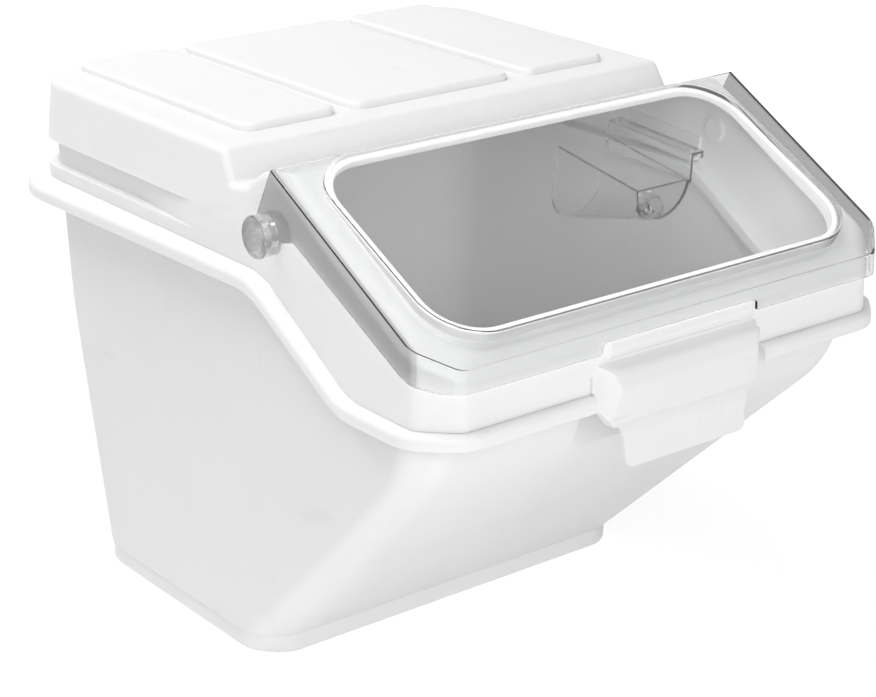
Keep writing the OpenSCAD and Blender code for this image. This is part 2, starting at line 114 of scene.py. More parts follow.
def open_mesh(piece, kind="EDGE"):
    """Opens a piece's mesh for shaping, with nothing selected."""
    take_up(piece)
    bpy.ops.object.mode_set(mode="EDIT")
    bpy.ops.mesh.select_mode(type=kind)
    bpy.ops.mesh.select_all(action="DESELECT")


def close_mesh():
    bpy.ops.object.mode_set(mode="OBJECT")


def pick_edges(piece, test):
    """Selects the edges whose two ends, in millimetres, and fold in degrees pass the test."""
    mesh = bmesh.from_edit_mesh(piece.data)
    count = 0
    for edge in mesh.edges:
        a, b = (v.co / MM for v in edge.verts)
        fold = math.degrees(edge.calc_face_angle(0.0))
        edge.select_set(bool(test(a, b, fold)))
        count += edge.select
    mesh.select_flush_mode()
    bmesh.update_edit_mesh(piece.data)
    return count


def arc(cx, cy, r, start, end, steps):
    """Points along an arc, from one angle to another in degrees."""
    turn = [math.radians(start + (end - start) * i / steps) for i in range(steps + 1)]
    return [(cx + r * math.cos(a), cy + r * math.sin(a)) for a in turn]


def softened(points, steps=5):
    """An outline whose corners with a third number are rounded to that radius."""
    line = []
    for i, point in enumerate(points):
        here = Vector(point[:2])
        if len(point) < 3:
            line.append(tuple(here))
            continue
        before = (Vector(points[i - 1][:2]) - here).normalized()
        after = (Vector(points[(i + 1) % len(points)][:2]) - here).normalized()
        half = before.angle(after) / 2
        centre = here + (before + after).normalized() * (point[2] / math.sin(half))
        a = here + before * (point[2] / math.tan(half)) - centre
        b = here + after * (point[2] / math.tan(half)) - centre
        turn = math.atan2(a.x * b.y - a.y * b.x, a.dot(b))
        for k in range(steps + 1):
            w = math.atan2(a.y, a.x) + turn * k / steps
            line.append((centre.x + point[2] * math.cos(w), centre.y + point[2] * math.sin(w)))
    return line


AXES = {"x": (Vector((0, 1, 0)), Vector((0, 0, 1)), Vector((1, 0, 0))),
        "y": (Vector((1, 0, 0)), Vector((0, 0, 1)), Vector((0, 1, 0))),
        "z": (Vector((1, 0, 0)), Vector((0, 1, 0)), Vector((0, 0, 1)))}


def draw_loop(corners):
    """Draws a closed line of edges in the open mesh, point by point."""
    bpy.ops.mesh.select_all(action="DESELECT")
    bpy.ops.mesh.primitive_plane_add(size=0.01, location=corners[0])
    bpy.ops.mesh.merge(type="CENTER")
    for here, there in zip(corners, corners[1:]):
        bpy.ops.mesh.extrude_vertices_move(TRANSFORM_OT_translate={"value": there - here})
    bpy.ops.mesh.select_linked()
    mesh = bmesh.from_edit_mesh(bpy.context.object.data)
    ends = [v for v in mesh.verts if v.select and len(v.link_edges) == 1]
    bpy.ops.mesh.select_all(action="DESELECT")
    for v in ends:
        v.select_set(True)
    bmesh.update_edit_mesh(bpy.context.object.data)
    bpy.ops.mesh.edge_face_add()


def new_piece(name):
    """An empty mesh, left open for drawing."""
    let_go()
    bpy.ops.mesh.primitive_plane_add(size=0.01, location=(0, 0, 0))
    piece = bpy.context.object
    piece.name = piece.data.name = name
    open_mesh(piece, "VERT")
    bpy.ops.mesh.select_all(action="SELECT")
    bpy.ops.mesh.delete(type="VERT")
    return piece


def slab(name, points, axis, low, high, frame_at=None):
    """A flat outline, drawn across an axis and pulled out along it from low to high."""
    u, v, n = AXES[axis]
    origin = Vector((0, 0, 0))
    if frame_at:
        origin, u, v, n = frame_at
    corners = [(origin + u * a + v * b + n * low) * MM for a, b in points]
    piece = new_piece(name)
    draw_loop(corners)
    bpy.ops.mesh.select_all(action="SELECT")
    bpy.ops.mesh.edge_face_add()
    bpy.ops.mesh.extrude_region_move(TRANSFORM_OT_translate={"value": n * ((high - low) * MM)})
    bpy.ops.mesh.select_all(action="SELECT")
    bpy.ops.mesh.normals_make_consistent(inside=False)
    close_mesh()
    return piece


def loft(name, rings):
    """A solid that runs through closed outlines of equal point counts, given with heights."""
    piece = new_piece(name)
    for points, z in rings:
        draw_loop([Vector((x, y, z)) * MM for x, y in points])
    bpy.ops.mesh.select_mode(type="EDGE")
    for (_, low), (_, high) in zip(rings, rings[1:]):
        pick_edges(piece, lambda a, b, fold: (abs(a.z - low) < 0.01 and abs(b.z - low) < 0.01)
                   or (abs(a.z - high) < 0.01 and abs(b.z - high) < 0.01))
        bpy.ops.mesh.bridge_edge_loops()
    for z in (rings[0][1], rings[-1][1]):
        pick_edges(piece, lambda a, b, fold: abs(a.z - z) < 0.01 and abs(b.z - z) < 0.01)
        bpy.ops.mesh.edge_face_add()
    bpy.ops.mesh.select_all(action="SELECT")
    bpy.ops.mesh.normals_make_consistent(inside=False)
    close_mesh()
    return piece


def combine(piece, tool, how):
    """Cuts, keeps or adds by another solid, which is used up."""
    step = piece.modifiers.new("combine", "BOOLEAN")
    step.operation, step.solver, step.object = how, "EXACT", tool
    take_up(piece)
    bpy.ops.object.modifier_apply(modifier=step.name)
    bpy.data.objects.remove(tool)
    return piece


def cut(piece, tool):
    return combine(piece, tool, "DIFFERENCE")


def keep(piece, tool):
    return combine(piece, tool, "INTERSECT")


def add(piece, tool):
    return combine(piece, tool, "UNION")


def slice_off(piece, point, normal):
    """Cuts away what lies on the normal's side of a plane and closes the cut."""
    open_mesh(piece)
    bpy.ops.mesh.select_all(action="SELECT")
    bpy.ops.mesh.bisect(plane_co=Vector(point) * MM, plane_no=normal, use_fill=True,
                        clear_outer=True)
    close_mesh()
    return piece


def round_off(piece, radius, test, steps=4, clamp=True):
    """Rounds the edges that pass the test, if there are any."""
    open_mesh(piece)
    if pick_edges(piece, test):
        bpy.ops.mesh.bevel(offset=radius * MM, segments=steps, profile=0.5, affect="EDGES",
                           clamp_overlap=clamp)
    close_mesh()
    return piece


def disc(name, centre_yz, d, x0, x1, sides=64):
    """A round solid along X, from one side to the other."""
    let_go()
    y, z = centre_yz
    bpy.ops.mesh.primitive_cylinder_add(
        vertices=sides, radius=d / 2 * MM, depth=abs(x1 - x0) * MM,
        location=Vector(((x0 + x1) / 2, y, z)) * MM, rotation=(0, math.pi / 2, 0))
    piece = bpy.context.object
    piece.name = name
    bpy.ops.object.transform_apply(location=True, rotation=True, scale=True)
    return piece


def finish_faces(piece, bevel=0.0, angle=30.0, steps=2):
    """Merges doubles, breaks the sharp edges and shades the piece."""
    open_mesh(piece, "VERT")
    bpy.ops.mesh.select_all(action="SELECT")
    bpy.ops.mesh.remove_doubles(threshold=MERGE * MM)
    bpy.ops.mesh.dissolve_limited(angle_limit=math.radians(FLAT))
    close_mesh()
    if bevel:
        edge = piece.modifiers.new("edges", "BEVEL")
        edge.width, edge.segments, edge.limit_method = bevel * MM, steps, "ANGLE"
        edge.angle_limit = math.radians(angle)
        take_up(piece)
        bpy.ops.object.modifier_apply(modifier=edge.name)
    take_up(piece)
    bpy.ops.object.shade_smooth_by_angle(angle=math.radians(angle))
    flat = piece.modifiers.new("flat faces", "WEIGHTED_NORMAL")
    flat.keep_sharp, flat.weight = True, 100
    bpy.ops.object.modifier_apply(modifier=flat.name)
    return piece


# --- Outlines --------------------------------------------------------------------------------

def plan(half, front, back, cut_in, bend, back_r, inset=0.0, half_back=0.0):
    """A plan outline with two bends at each cut front corner and a round back corner."""
    wide = half_back or half
    c = cut_in - inset * (2 - math.sqrt(2))
    r = bend - inset
    k = math.tan(math.radians(22.5))
    right = (arc(half - inset - c - k * r, front + inset + r, r, -90, -45, 6)
             + arc(half - inset - r, front + inset + c + k * r, r, -45, 0, 6)
             + arc(wide - back_r, back - back_r, back_r - inset, 0, 90, 14))
    return right + [(-x, y) for x, y in reversed(right)]


def rim_plan(inset):
    return plan(RIM_HALF, RIM_FRONT, RIM_BACK, 32, 36, 79, inset, RIM_BACK_HALF)


def wall_plan(inset):
    return plan(WALL_HALF, WALL_FRONT, WALL_BACK, CUT_IN, BEND_R, BACK_R, inset)


def hood_plan(inset):
    return plan(HOOD_HALF, HOOD_FRONT, HOOD_BACK, CUT_IN, BEND_R, BACK_R, inset)


def rim_line(drop=0.0):
    """The rim's falling line in side view, from the back to the front."""
    fall = math.radians(RIM_FALL)
    run = (RIM_BACK_Z - RIM_FRONT_Z) / math.tan(fall)
    k = math.tan(fall / 2)
    low_y = RIM_TURN_Y - run
    line = ([(REACH, RIM_BACK_Z)]
            + arc(RIM_TURN_Y + k * RIM_TOP_R, RIM_BACK_Z - RIM_TOP_R, RIM_TOP_R, 90,
                  90 + RIM_FALL, 10)
            + arc(low_y - k * RIM_LOW_R, RIM_FRONT_Z + RIM_LOW_R, RIM_LOW_R, RIM_FALL - 90, -90, 10)
            + [(-REACH, RIM_FRONT_Z)])
    return [(y, z - drop) for y, z in line]


def rim_height(y):
    line = rim_line()
    for (y1, z1), (y0, z0) in zip(line, line[1:]):
        if y0 <= y <= y1:
            return z0 + (z1 - z0) * (y - y0) / (y1 - y0)
    return RIM_BACK_Z


def below_rim(drop, half=REACH):
    return slab("below", rim_line(drop) + [(-REACH, -50), (REACH, -50)], "x", -half, half)


def rim_band(top_drop, low_drop, half=REACH):
    """What lies between two drops under the rim's line."""
    return slab("band", rim_line(top_drop) + rim_line(low_drop)[::-1], "x", -half, half)


# --- Bin body --------------------------------------------------------------------------------

def bin_block(inset):
    """The bin's drafted form with a soft bend where the front slope turns upright."""
    low_z = FLOOR_T if inset else FOOT_H
    run = (FOOT_FRONT - BEND_FRONT) / (SLOPE_TOP - FOOT_H)
    # each row: half width, front, back, corner cut, bend radius, back radius, height
    front = FOOT_FRONT + (FOOT_H - low_z) * run + inset * 0.5
    foot = (FOOT_HALF, front, FOOT_BACK, 24, 30, 40, low_z)
    bend = (BEND_HALF, BEND_FRONT, BEND_BACK, 20, 22, BACK_R, SLOPE_TOP)
    top = (WALL_HALF, WALL_FRONT, WALL_BACK, CUT_IN, BEND_R, BACK_R, WALL_TOP)
    blend = lambda p, q, f: [a + (b - a) * f for a, b in zip(p, q)]
    below, above = blend(foot, bend, 0.88), blend(bend, top, 0.24)
    rows = [foot]
    for i in range(9):
        u = i / 8
        rows.append(blend(blend(below, bend, u), blend(bend, above, u), u))
    rows.append(top)
    block = loft("bin_block", [(plan(*row[:6], inset), row[6]) for row in rows])
    return cut(block, recess_block(inset))


def recess_block(inset):
    """The finger recess behind the grip, as a block with soft edges."""
    near, far = RECESS_FRONT, RECESS_BACK + inset
    mouth, end = RECESS_HALF + inset, RECESS_HALF - RECESS_DRAFT + inset
    deep = [(-mouth, near), (mouth, near), (end, far), (-end, far)]
    shut = [(-mouth, near), (mouth, near), (mouth, near + 1), (-mouth, near + 1)]
    block = loft("recess", [(shut, RECESS_LOW - RECESS_FALL), (deep, RECESS_LOW),
                            (deep, RECESS_TOP + inset)])
    return round_off(block, 6.0 + inset, lambda a, b, fold: fold > 15
                     and (a.y > near + 2 or b.y > near + 2), 5)


def make_bin():
    body = keep(bin_block(0), below_rim(0))
    foot = slab("foot", plan(FOOT_HALF - 1, FOOT_FRONT + 1, FOOT_BACK - 1, 24, 30, 40), "z",
                0, FOOT_H + SKIN)
    round_off(foot, 2.5, lambda a, b, fold: a.z < 0.1 and b.z < 0.1)
    add(body, foot)
    rim = keep(slab("rim", rim_plan(0), "z", 200, 400), rim_band(0, RIM_T))
    on_top = lambda a, b, fold: (fold > 40 and abs(a.z - rim_height(a.y)) < 0.2
                                 and abs(b.z - rim_height(b.y)) < 0.2)
    round_off(rim, 5.0, on_top, 5)
    round_off(rim, 1.2, lambda a, b, fold: fold > 40 and a.z < rim_height(a.y) - 11
              and b.z < rim_height(b.y) - 11, 2)
    cut(rim, keep(slab("under", rim_plan(RIM_HEM), "z", 150, 420), below_rim(RIM_HEM)))
    add(body, rim)
    cut(body, bin_block(BIN_WALL))
    cut(body, slab("break", [(-RIM_BREAK_HALF, -296), (RIM_BREAK_HALF, -296),
                             (RIM_BREAK_HALF, -265), (-RIM_BREAK_HALF, -265)], "z", 265, 300))
    body.name = body.data.name = "bin_shell"
    return finish_faces(body, 0.6)


# --- Hood ------------------------------------------------------------------------------------

def tilted(point, angle):
    """The axes of a plane tilted about X: origin, across, up the slope, out of the slope."""
    a = math.radians(angle)
    return (Vector(point), Vector((1, 0, 0)), Vector((0, math.cos(a), math.sin(a))),
            Vector((0, -math.sin(a), math.cos(a))))


WINDOW_AT = tilted((0, LID_TOP_Y, LID_TOP_Z), WINDOW_SLOPE)
FLANGE_AT = tilted((0, LID_TOP_Y, LID_TOP_Z), LID_SLOPE)


def height_over(plane, point):
    return (point - plane[0]).dot(plane[3])


def window(grow):
    h, b, f, r = WINDOW_HALF + grow, WINDOW_BACK + grow, WINDOW_FRONT - grow, WINDOW_R + grow
    return (arc(h - r, f + r, r, -90, 0, 12) + arc(h - r, b - r, r, 0, 90, 12)
            + arc(-h + r, b - r, r, 90, 180, 12) + arc(-h + r, f + r, r, 180, 270, 12))


def window_block(grow, low, high):
    return slab("window", window(grow), "z", low, high, WINDOW_AT)


def above_flange(piece, rise):
    """Keeps what lies above the lid's flange plane moved up by rise."""
    return slice_off(piece, FLANGE_AT[0] + FLANGE_AT[3] * rise, -FLANGE_AT[3])


def hood_line(inset):
    """The hood in side view: deck, valley, the ledge round the hinge, and the slope."""
    r = LEDGE_R - inset
    low = math.degrees(math.asin((LEDGE_Z - inset - HINGE_Z) / r))
    slope = math.radians(LID_SLOPE)
    top_y = HINGE_Y - r * math.sin(slope)
    top_z = HINGE_Z + r * math.cos(slope)
    end = (top_y - 295 * math.cos(slope), top_z - 295 * math.sin(slope))
    ledge = arc(HINGE_Y, HINGE_Z, r, low, 90 + LID_SLOPE, 16)
    ledge[0] += (4.0 + inset,)
    return softened([(REACH, 270), (REACH, DECK_Z - inset),
                     (DECK_FRONT + inset / 2, DECK_Z - inset, 7.0 - inset),
                     (VALLEY_BACK + inset, VALLEY_Z - inset, 4.0 + inset)]
                    + ledge + [end, (end[0], 270)])


def neck_ring(inset):
    """What is cut away round the back to leave the recessed neck."""
    x = HOOD_HALF - inset
    side = ([(x + 1, NECK_FRONT - 30), (x + 1, NECK_FRONT), (x - NECK_IN, NECK_FRONT + NECK_LEN)]
            + arc(HOOD_HALF - BACK_R, HOOD_BACK - BACK_R, BACK_R - NECK_IN - inset, 0, 90, 14))
    inner = slab("neck_core", side + [(-a, b) for a, b in reversed(side)], "z", 340, 400)
    ring = slab("neck", [(-REACH, NECK_FRONT), (REACH, NECK_FRONT), (REACH, REACH),
                         (-REACH, REACH)], "z", NECK_Z - inset, SKIRT_Z + inset)
    return cut(ring, inner)


def hood_prism(inset, low, high):
    """The hood's plan pulled up, upright to the skirt's edge and drafted above it."""
    lean = CAP_DRAFT * (high - SKIRT_Z) / (DECK_Z - SKIRT_Z)
    top = plan(HOOD_HALF - lean, HOOD_FRONT, HOOD_BACK, CUT_IN, BEND_R, BACK_R, inset)
    return loft("hood_prism", [(hood_plan(inset), low), (hood_plan(inset), SKIRT_Z), (top, high)])


def slope_block(inset):
    """The same plan under the slope alone, with the slope's large soft edges."""
    block = hood_prism(inset - SLOPE_PAST, 150, 520)
    down = -LID_T - LID_GAP - SLOPE_DROP - inset
    slice_off(block, FLANGE_AT[0] + FLANGE_AT[3] * down, FLANGE_AT[3])
    return round_off(block, SLOPE_SOFT - inset,
                     lambda a, b, fold: fold > 40 and min(a.z, b.z) > 290, 7, False)


def hood_block(inset):
    """The hood's outer form, or the hollow inside it when it is inset."""
    block = keep(hood_prism(inset, 200, 460),
                 slab("hood_side", hood_line(inset), "x", -REACH, REACH))
    round_off(block, HOOD_SOFT - inset,
              lambda a, b, fold: fold > 40 and min(a.z, b.z) > 300, 5, False)
    keep(block, slope_block(inset))
    return cut(block, neck_ring(inset))


def panel(x0, x1, inset):
    """One raised panel of the deck, with soft corners."""
    r = PANEL_R - inset
    y0, y1 = PANEL_FRONT + inset, PANEL_BACK - inset
    x0, x1 = x0 + inset, x1 - inset
    top = PANEL_TOP - inset
    points = (arc(x1 - r, y0 + r, r, -90, 0, 8) + arc(x1 - r, y1 - r, r, 0, 90, 8)
              + arc(x0 + r, y1 - r, r, 90, 180, 8) + arc(x0 + r, y0 + r, r, 180, 270, 8))
    piece = slab("panel", points, "z", DECK_Z - HOOD_WALL / 2 - 2 * inset, top)
    return round_off(piece, 3.4 - inset, lambda a, b, fold: min(a.z, b.z) > top - 0.1, 4)


PANELS = ((-PANEL_SIDE, -PANEL_HALF - PANEL_GAP), (-PANEL_HALF, PANEL_HALF),
          (PANEL_HALF + PANEL_GAP, PANEL_SIDE))


def hood_lip():
    """The flange on the rim and the lip that drops inside the bin."""
    flange = keep(slab("flange", hood_plan(HOOD_WALL - SKIN), "z", 200, 420),
                  rim_band(-SEAM - HOOD_WALL, -SEAM - SKIN))
    cut(flange, slab("mouth", wall_plan(12 + HOOD_WALL / 2), "z", 150, 450))
    lip = keep(slab("lip", wall_plan(12), "z", 200, 420), rim_band(-SEAM - HOOD_WALL + 0.4, 8))
    cut(lip, slab("mouth", wall_plan(12 + HOOD_WALL), "z", 150, 450))
    return add(flange, lip)


def open_window(hood):
    """Sets the collar on the slope, cuts the window through both and rounds the collar's top."""
    top = PLATEAU_RISE - PLATEAU_WALL - COLLAR_GAP
    block = window_block(COLLAR_T, -WINDOW_R, top)
    add(hood, above_flange(block, -LID_T - LID_GAP - HOOD_WALL / 2))
    cut(hood, window_block(0, -80, 80))
    return round_off(hood, 1.6, lambda a, b, fold: fold > 40
                     and abs(height_over(WINDOW_AT, a) - top) < 0.05
                     and abs(height_over(WINDOW_AT, b) - top) < 0.05, 4)


def grip_block(inset):
    """The grip's solid form from three outlines: from above, from the front, from the side."""
    t = inset
    back = HOOD_FRONT + 3 + t
    soft = GRIP_SOFT - t
    block = slab("grip", softened([(-GRIP_ROOT + t, back), (-GRIP_HALF + t, GRIP_FRONT + t, soft),
                                   (GRIP_HALF - t, GRIP_FRONT + t, soft), (GRIP_ROOT - t, back)]),
                 "z", 205, 340)
    keep(block, slab("grip_front", softened([
        (t - GRIP_NARROW, 210), (GRIP_NARROW - t, 210), (GRIP_NARROW - t, GRIP_LOW_Z - 6),
        (GRIP_WIDE - t, GRIP_LOW_Z + 15, 9), (GRIP_WIDE + 1 + t / 9, 308),
        (-GRIP_WIDE - 1 - t / 9, 308), (t - GRIP_WIDE, GRIP_LOW_Z + 15, 9),
        (t - GRIP_NARROW, GRIP_LOW_Z - 6)]), "y", -310, -260))
    return keep(block, slab("grip_side", softened([
        (back, GRIP_TOP_Z + 6 - t), (GRIP_FRONT + 6 + t, GRIP_TOP_Z - t, 9.0 - t),
        (GRIP_FRONT + t, GRIP_TOP_Z - 12 - t, 9.0 - t), (GRIP_LOW_Y + t, GRIP_LOW_Z),
        (GRIP_LOW_Y + t, 200), (back, 200)], 8), "x", -100, 100))


def grip():
    """The hollow plate of the grip with the flared lip under it."""
    plate = slice_off(grip_block(0), (0, 0, GRIP_LOW_Z), (0, 0, -1))
    cut(plate, grip_block(GRIP_WALL))
    face = [(0, 2.5), (-2.6, -1), (-4.2, -5), (-4.6, -9), (-4.3, -13), (-4.2, -17), (-4.7, -22),
            (-GRIP_FLARE, GRIP_LIP_Z - GRIP_LOW_Z)]
    rear = [(3 - GRIP_FLARE, GRIP_LIP_Z - GRIP_LOW_Z), (-1.7, -22), (-1.2, -17), (-1.3, -9),
            (0, -2), (3, 0.5), (3, 2.5)]
    lip = slab("grip_lip", [(GRIP_LOW_Y + p, GRIP_LOW_Z + q) for p, q in face + rear],
               "x", -GRIP_NARROW, GRIP_NARROW)
    side = GRIP_NARROW - 0.5
    keep(lip, slab("lip_front", softened([
        (-GRIP_LIP_HALF, GRIP_LIP_Z, 6), (GRIP_LIP_HALF, GRIP_LIP_Z, 6), (side, GRIP_LOW_Z),
        (side, 270), (-side, 270), (-side, GRIP_LOW_Z)]), "y", -310, -260))
    return add(plate, lip)


def ridge():
    """The soft bead above the grip, rounded at both ends."""
    line = [(HOOD_FRONT + 1, LID_LOW_Z - 7), (HOOD_FRONT - 4, LID_LOW_Z - 4, 5),
            (HOOD_FRONT - 6.6, LID_LOW_Z + 2, 5), (HOOD_FRONT - 5.4, LID_LOW_Z + 8, 2.2),
            (HOOD_FRONT + 1, LID_LOW_Z + 8)]
    bead = slab("ridge", softened(line), "x", -RIDGE_HALF, RIDGE_HALF)
    wide, narrow = RIDGE_HALF + 0.5, RIDGE_HALF - 2
    return keep(bead, slab("ridge_plan", softened([
        (-wide, HOOD_FRONT + 2), (-narrow, HOOD_FRONT - 8, 5), (narrow, HOOD_FRONT - 8, 5),
        (wide, HOOD_FRONT + 2)]), "z", 300, 335))


def make_hood():
    hood = hood_block(0)
    cut(hood, hood_block(HOOD_WALL))
    open_window(hood)
    cut(hood, below_rim(-SEAM))
    add(hood, hood_lip())
    for x0, x1 in PANELS:
        add(hood, panel(x0, x1, 0))
    add(hood, grip())
    add(hood, ridge())
    for s in (-1, 1):
        add(hood, disc("boss", (HINGE_Y, HINGE_Z), PIN_HEAD_D, s * (PIN_HEAD_X + PIN_HEAD_T),
                       s * (HOOD_HALF - SKIN)))
    for x0, x1 in PANELS:
        cut(hood, panel(x0, x1, HOOD_WALL))
    for s in (-1, 1):
        cut(hood, disc("bore", (HINGE_Y, HINGE_Z), PIN_D, s * (PIN_HEAD_X - 10),
                       s * (PIN_END + 10)))
        near, far = s * SLIT_X, s * (SLIT_X + SLIT_T)
        cut(hood, slab("slit", [(near, HOOD_FRONT - 2), (far, HOOD_FRONT - 2),
                                (far, HOOD_FRONT + 5.5), (near, HOOD_FRONT + 5.5)], "z", 282, 300))
    hood.name = hood.data.name = "hood_shell"
    return finish_faces(hood, 0.5)


# --- Clear lid, pins, rail and scoop ---------------------------------------------------------

def lid_block(inset):
    """The lid's outer form, or the hollow under it when it is inset."""
    tan = math.tan(math.radians(LID_SLOPE))
    drop = inset / math.cos(math.radians(LID_SLOPE))
    rear = 40 if inset else 0
    top = [(LID_TOP_Y + rear, LID_TOP_Z - drop + rear * tan),
           (LID_FRONT - 10, LID_TOP_Z - drop - (LID_TOP_Y - LID_FRONT + 10) * tan)]
    low = [(-REACH, 0), (0, 0)] if inset else (
        [(LID_FRONT - 10, LID_LOW_Z), (LID_FRONT + 11, LID_LOW_Z + 1),
         (LID_FRONT + 37, LID_LOW_Z + 10)]
        + [(HINGE_Y + a, HINGE_Z + b) for a, b in
           ((-34, 2.5), (-19, -1.5), (-4, -14), (15, -4), (15, 6))])
    block = slab("lid_block", top + low, "x", -260, 260)
    keep(block, slab("lid_plan", plan(LID_HALF, LID_FRONT, RIM_BACK, CUT_IN, BEND_R, BACK_R,
                                      inset), "z", -10, 500))
    if not inset:
        round_off(block, 1.8, lambda a, b, fold: fold > 40 and
                  abs(height_over(FLANGE_AT, a)) < 0.05 and abs(height_over(FLANGE_AT, b)) < 0.05
                  and min(a.y, b.y) < LID_TOP_Y - 0.1, 4)
    return block


def make_lid():
    lid = lid_block(0)
    cut(lid, lid_block(LID_T))
    rise = window_block(COLLAR_T + PLATEAU_GAP + PLATEAU_WALL, -12, PLATEAU_RISE)
    round_off(rise, 1.2, lambda a, b, fold: fold > 40 and
              min(height_over(WINDOW_AT, a), height_over(WINDOW_AT, b)) > PLATEAU_RISE - 0.1, 3)
    add(lid, above_flange(rise, -LID_T + 0.2))
    for s in (-1, 1):
        cup = disc("cup", (HINGE_Y, HINGE_Z), CUP_D, s * (LID_HALF - LID_T), s * CUP_FACE, 72)
        round_off(cup, 1.6, lambda a, b, fold: fold > 40 and abs(a.x) > 230 and abs(b.x) > 230)
        add(lid, cup)
    cut(lid, window_block(COLLAR_T + PLATEAU_GAP, -12, PLATEAU_RISE - PLATEAU_WALL))
    for s in (-1, 1):
        cut(lid, disc("bore", (HINGE_Y, HINGE_Z), PIN_D + 2 * PIN_GAP, s * 217.5, s * 233.8))
    top = LID_LOW_Z + NOTCH_RISE
    cut(lid, slab("notch", softened([(-NOTCH_HALF, LID_LOW_Z - 5), (NOTCH_HALF, LID_LOW_Z - 5),
                                     (NOTCH_HALF, top, NOTCH_R), (-NOTCH_HALF, top, NOTCH_R)]),
                  "y", LID_FRONT - 5, LID_FRONT + 7))
    lid.name = lid.data.name = "lid_shell"
    return finish_faces(lid, 0.4)


def make_pin(side, name):
    pin = disc(name, (HINGE_Y, HINGE_Z), PIN_D, side * PIN_HEAD_X, side * PIN_END)
    round_off(pin, 0.8, lambda a, b, fold: fold > 40 and abs(a.x) > 230)
    head = disc("head", (HINGE_Y, HINGE_Z), PIN_HEAD_D, side * PIN_HEAD_X,
                side * (PIN_HEAD_X + PIN_HEAD_T))
    round_off(head, 0.8, lambda a, b, fold: fold > 40 and abs(a.x) < 214)
    add(pin, head)
    pin.data.name = name
    return finish_faces(pin)


def scoop_frame(tilt, shift=(0, 0, 0)):
    """Origin and axes at the scoop: across, up and along, tilted down to the front."""
    a = math.radians(tilt)
    along, up = Vector((0, math.cos(a), math.sin(a))), Vector((0, -math.sin(a), math.cos(a)))
    return (SCOOP_AT + Vector((1, 0, 0)) * shift[0] + along * shift[1] + up * shift[2],
            Vector((1, 0, 0)), up, along)


def make_rail():
    """A channel on the hood's right wall that the scoop's hooked edge hangs in."""
    wall, edge, high, top, floor, t = 46.9, 36.9, 27.0, 16.0, 7.0, RAIL_T
    rail = slab("rail", [(wall, high), (wall - t, high), (wall - t, floor + t),
                         (edge + t, floor + t), (edge + t, top), (edge, top), (edge, floor),
                         (wall, floor)], "z", -RAIL_HALF, RAIL_HALF, scoop_frame(RAIL_TILT))
    return finish_faces(rail, 0.5)


def bowl_block(inset):
    """The scoop's bowl: a round trough that falls to the front, trimmed level at its edge."""
    t, r = inset, SCOOP_R
    level, deep = scoop_frame(SCOOP_TILT), scoop_frame(SCOOP_TILT, (0, -SCOOP_HALF, -30))
    a = math.radians(SCOOP_TILT - 22)
    trough_at = (deep[0], Vector((1, 0, 0)), Vector((0, -math.sin(a), math.cos(a))),
                 Vector((0, math.cos(a), math.sin(a))))
    trough = slab("trough", [(t - r, 300)] + arc(0, r, r - t, 180, 360, 28) + [(r - t, 300)],
                  "z", -2 * SCOOP_HALF, 4 * SCOOP_HALF, trough_at)
    return keep(trough, slab("trim", [(-r, -300), (r, -300), (r, t), (-r, t)], "z",
                             t - SCOOP_HALF, SCOOP_HALF + 3 * t, level))


def loop_block(inset):
    """The finger loop on the scoop's near end."""
    t = inset
    origin, across, up, along = scoop_frame(
        SCOOP_TILT, (1 - SCOOP_R - t, -SCOOP_HALF, -10.5))
    r = LOOP_R - t
    return slab("loop", [(0, r)] + arc(-LOOP_R, 0, r, 90, 270, 20) + [(0, -r)], "z",
                0, LOOP_LONG + 2 * t, (origin, along, up, across))


def make_scoop():
    scoop = bowl_block(0)
    cut(scoop, bowl_block(SCOOP_WALL))
    add(scoop, cut(loop_block(0), loop_block(LOOP_WALL)))
    root, edge, under, t = SCOOP_R - 0.5, HOOK_X, HOOK_TOP, HOOK_T
    add(scoop, slab("hook", [(root, -7), (root, under + t), (edge + t, under + t),
                             (edge + t, under - 4), (edge, under - 4), (edge, under),
                             (root + t, under), (root + t, -7)], "z", -SCOOP_HALF, SCOOP_HALF,
                    scoop_frame(RAIL_TILT)))
    scoop.name = scoop.data.name = "scoop_clear"
    return finish_faces(scoop, 0.5)


# --- Finishes --------------------------------------------------------------------------------

def wire(tree, kind, settings=None, **feeds):
    """Adds a node; settings are its own values, feeds are sockets by name or linked outputs."""
    node = tree.nodes.new(kind)
    for key, value in (settings or {}).items():
        setattr(node, key, value)
    for key, value in feeds.items():
        socket = node.inputs[int(key[1:])] if key[0] == "i" and key[1:].isdigit() else (
            node.inputs[key.replace("_", " ")])
        if isinstance(value, bpy.types.NodeSocket):
            tree.links.new(value, socket)
        else:
            socket.default_value = value
    return node


def noise(tree, at, scale, detail=2.0, rough=0.5, warp=0.0):
    """A noise value between nought and one."""
    return wire(tree, "ShaderNodeTexNoise", Vector=at, Scale=scale, Detail=detail,
                Roughness=rough, Distortion=warp).outputs[0]


def stretch(tree, at, scale, turn=(0, 0, 0)):
    return wire(tree, "ShaderNodeMapping", Vector=at, Scale=scale,
                Rotation=[math.radians(a) for a in turn]).outputs[0]


def levels(tree, value, low, high, to_low=0.0, to_high=1.0):
    """Maps a value from one range to another and keeps it inside."""
    return wire(tree, "ShaderNodeMapRange", i0=value, i1=low, i2=high, i3=to_low,
                i4=to_high).outputs[0]


def calc(tree, how, a, b):
    return wire(tree, "ShaderNodeMath", {"operation": how}, i0=a, i1=b).outputs[0]


def blend_colour(tree, mask, a, b):
    node = wire(tree, "ShaderNodeMix", {"data_type": "RGBA"}, i0=mask, i6=a, i7=b)
    return node.outputs[2]


